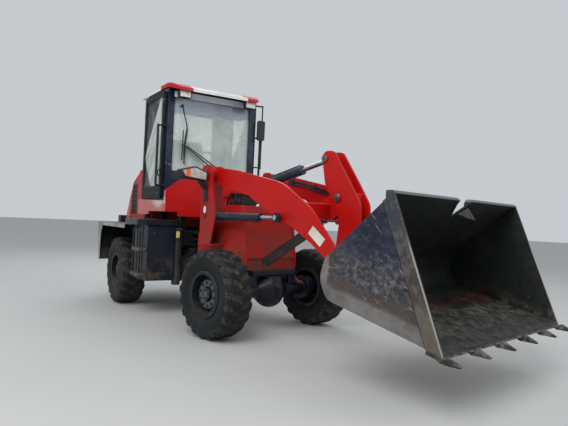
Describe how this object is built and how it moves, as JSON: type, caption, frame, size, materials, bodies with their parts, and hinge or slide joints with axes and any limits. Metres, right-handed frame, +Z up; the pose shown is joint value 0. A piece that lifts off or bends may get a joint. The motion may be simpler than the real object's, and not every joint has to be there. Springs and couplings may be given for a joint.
{
  "type": "wheel loader",
  "caption": "Compact articulated wheel loader with a red Z-bar boom, toothed bucket, enclosed cab, lugged tyres and steering hinge amidships.",
  "frame": {"origin": "on the ground, under the middle of the whole machine's bounding box, as it stands in the picture with the front frame steered 11.3 degrees left", "axes": "+X forward along the rear frame, +Y to the driver's left, +Z up"},
  "size_m": [6.1029, 2.5119, 2.684],
  "materials": {
    "red_paint": "faded",
    "navy_paint": "satin",
    "black_paint": "satin",
    "bucket_steel": "worn",
    "chrome": "polished",
    "engine_iron": "rough",
    "tyre": "dusty",
    "glass": "clear",
    "seat_vinyl": "matt",
    "dark_plastic": "matt",
    "lamp_plastic": "gloss"
  },
  "bodies": {
    "chassis": {"rear_frame": "navy_paint", "rear_axle": "black_paint", "counterweight": "navy_paint", "engine_block": "engine_iron", "hood": "red_paint", "radiator_grille": "black_paint", "exhaust": "black_paint", "rear_fenders": "red_paint", "fuel_tank": "navy_paint", "hydraulic_tank": "navy_paint", "steps": "navy_paint", "side_platforms": "black_paint", "oil_filter": "bucket_steel", "cab_base": "red_paint", "cab_frame": "navy_paint", "cab_roof": "red_paint", "roof_caps": "red_paint", "windscreen": "glass", "cab_glass": "glass", "seat": "seat_vinyl", "steering_console": "dark_plastic", "steering_wheel": "dark_plastic", "mirror_left": "dark_plastic", "work_lamps": "lamp_plastic"},
    "door_right": {"door_right": "navy_paint", "door_glass_right": "glass"},
    "door_left": {"door_left": "navy_paint", "door_glass_left": "glass"},
    "front_frame": {"front_frame": "red_paint", "front_axle": "black_paint", "headlamps": "lamp_plastic", "control_valve": "black_paint"},
    "boom": {"lift_arms": "red_paint", "safety_strut": "black_paint", "boom_pipes": "black_paint"},
    "bellcrank": {"bellcrank": "red_paint"},
    "tilt_link": {"tilt_link": "red_paint"},
    "bucket": {"bucket": "bucket_steel", "cutting_edge": "bucket_steel"},
    "lift_barrel_right": {"lift_barrel_right": "black_paint"},
    "lift_barrel_left": {"lift_barrel_left": "black_paint"},
    "lift_rod_right": {"lift_rod_right": "chrome"},
    "lift_rod_left": {"lift_rod_left": "chrome"},
    "tilt_barrel": {"tilt_barrel": "black_paint"},
    "tilt_rod": {"tilt_rod": "chrome"},
    "steer_barrel_right": {"steer_barrel_right": "black_paint"},
    "steer_barrel_left": {"steer_barrel_left": "black_paint"},
    "steer_rod_right": {"steer_rod_right": "chrome"},
    "steer_rod_left": {"steer_rod_left": "chrome"},
    "wheel_front_right": {"tyre_front_right": "tyre", "rim_front_right": "red_paint"},
    "wheel_front_left": {"tyre_front_left": "tyre", "rim_front_left": "red_paint"},
    "wheel_rear_right": {"tyre_rear_right": "tyre", "rim_rear_right": "red_paint"},
    "wheel_rear_left": {"tyre_rear_left": "tyre", "rim_rear_left": "red_paint"}
  },
  "joints": [
    {"name": "steer", "type": "hinge", "parent": "chassis", "child": "front_frame", "pos_m": [-0.772, -0.375, 0.735], "axis": [0, 0, 1], "range_deg": [-46.3, 23.7]},
    {"name": "lift", "type": "hinge", "parent": "front_frame", "child": "boom", "pos_m": [-0.20815, -0.26233, 1.612], "axis": [0.1959, -0.9806, 0], "range_deg": [-16, 70]},
    {"name": "tilt", "type": "hinge", "parent": "boom", "child": "bucket", "pos_m": [1.6913, 0.11722, 0.655], "axis": [0.1959, -0.9806, 0], "range_deg": [-100, 45]},
    {"name": "crank_turn", "type": "hinge", "parent": "boom", "child": "bellcrank", "pos_m": [1.22061, 0.02316, 1.386], "axis": [0.1959, -0.9806, 0], "range_deg": [-19, 41]},
    {"name": "link_turn", "type": "hinge", "parent": "bellcrank", "child": "tilt_link", "pos_m": [1.24807, 0.02865, 0.775], "axis": [0.1959, -0.9806, 0], "range_deg": [-77, 35.2]},
    {"name": "tilt_cylinder_turn", "type": "hinge", "parent": "front_frame", "child": "tilt_barrel", "pos_m": [-0.18363, -0.25743, 1.448], "axis": [0.1959, -0.9806, 0], "range_deg": [-16.08, 66.99]},
    {"name": "tilt_cylinder_stroke", "type": "slide", "parent": "tilt_barrel", "child": "tilt_rod", "axis": [0.9534, 0.1905, 0.234], "range_m": [-0.24583, 0.11172]},
    {"name": "lift_cylinder_turn_right", "type": "hinge", "parent": "front_frame", "child": "lift_barrel_right", "pos_m": [-0.1033, -0.71047, 1.172], "axis": [0.1959, -0.9806, 0], "range_deg": [-15.05, 62.47]},
    {"name": "lift_cylinder_stroke_right", "type": "slide", "parent": "lift_barrel_right", "child": "lift_rod_right", "axis": [0.9806, 0.1959, 0.0057], "range_m": [-0.11197, 0.48311]},
    {"name": "steer_cylinder_turn_right", "type": "hinge", "parent": "chassis", "child": "steer_barrel_right", "pos_m": [-1.372, -0.55, 0.735], "axis": [0, 0, 1], "range_deg": [-11.89, 6.57]},
    {"name": "steer_cylinder_stroke_right", "type": "slide", "parent": "steer_barrel_right", "child": "steer_rod_right", "axis": [1, 0.0005, 0], "range_m": [-0.17178, 0.08891]},
    {"name": "door_right_swing", "type": "hinge", "parent": "chassis", "child": "door_right", "pos_m": [-1.618, -0.969, 1.9], "axis": [0, 0, -1], "range_deg": [0, 85]},
    {"name": "wheel_front_right_spin", "type": "hinge", "parent": "front_frame", "child": "wheel_front_right", "pos_m": [0.40403, -0.84059, 0.425], "axis": [-0.1959, 0.9806, 0], "continuous": true},
    {"name": "wheel_rear_right_spin", "type": "hinge", "parent": "chassis", "child": "wheel_rear_right", "pos_m": [-1.863, -1.062, 0.425], "axis": [0, 1, 0], "continuous": true},
    {"name": "lift_cylinder_turn_left", "type": "hinge", "parent": "front_frame", "child": "lift_barrel_left", "pos_m": [-0.28357, 0.19169, 1.172], "axis": [0.1959, -0.9806, 0], "range_deg": [-15.05, 62.47]},
    {"name": "lift_cylinder_stroke_left", "type": "slide", "parent": "lift_barrel_left", "child": "lift_rod_left", "axis": [0.9806, 0.1959, 0.0057], "range_m": [-0.11197, 0.48311]},
    {"name": "steer_cylinder_turn_left", "type": "hinge", "parent": "chassis", "child": "steer_barrel_left", "pos_m": [-1.372, -0.2, 0.735], "axis": [0, 0, 1], "range_deg": [-12.57, 6.92]},
    {"name": "steer_cylinder_stroke_left", "type": "slide", "parent": "steer_barrel_left", "child": "steer_rod_left", "axis": [0.9953, 0.097, 0], "range_m": [-0.08254, 0.15935]},
    {"name": "door_left_swing", "type": "hinge", "parent": "chassis", "child": "door_left", "pos_m": [-1.618, 0.219, 1.9], "axis": [0, 0, 1], "range_deg": [0, 85]},
    {"name": "wheel_front_left_spin", "type": "hinge", "parent": "front_frame", "child": "wheel_front_left", "pos_m": [0.1348, 0.50678, 0.425], "axis": [-0.1959, 0.9806, 0], "continuous": true},
    {"name": "wheel_rear_left_spin", "type": "hinge", "parent": "chassis", "child": "wheel_rear_left", "pos_m": [-1.863, 0.312, 0.425], "axis": [0, 1, 0], "continuous": true}
  ],
  "couplings": [
    {"joint": "crank_turn", "follows": "tilt", "ratio": -0.4},
    {"joint": "link_turn", "follows": "tilt", "ratio": 0.76},
    {"joint": "tilt_cylinder_turn", "follows": "lift", "ratio": 0.9427},
    {"joint": "tilt_cylinder_stroke", "follows": "tilt", "m_per_rad": 0.1397},
    {"joint": "lift_cylinder_turn_right", "follows": "lift", "ratio": 0.8781},
    {"joint": "lift_cylinder_stroke_right", "follows": "lift", "m_per_rad": 0.3938},
    {"joint": "steer_cylinder_turn_right", "follows": "steer", "ratio": 0.2351},
    {"joint": "steer_cylinder_stroke_right", "follows": "steer", "m_per_rad": 0.2101},
    {"joint": "lift_cylinder_turn_left", "follows": "lift", "ratio": 0.8781},
    {"joint": "lift_cylinder_stroke_left", "follows": "lift", "m_per_rad": 0.3938},
    {"joint": "steer_cylinder_turn_left", "follows": "steer", "ratio": 0.2499},
    {"joint": "steer_cylinder_stroke_left", "follows": "steer", "m_per_rad": -0.19472}
  ]
}
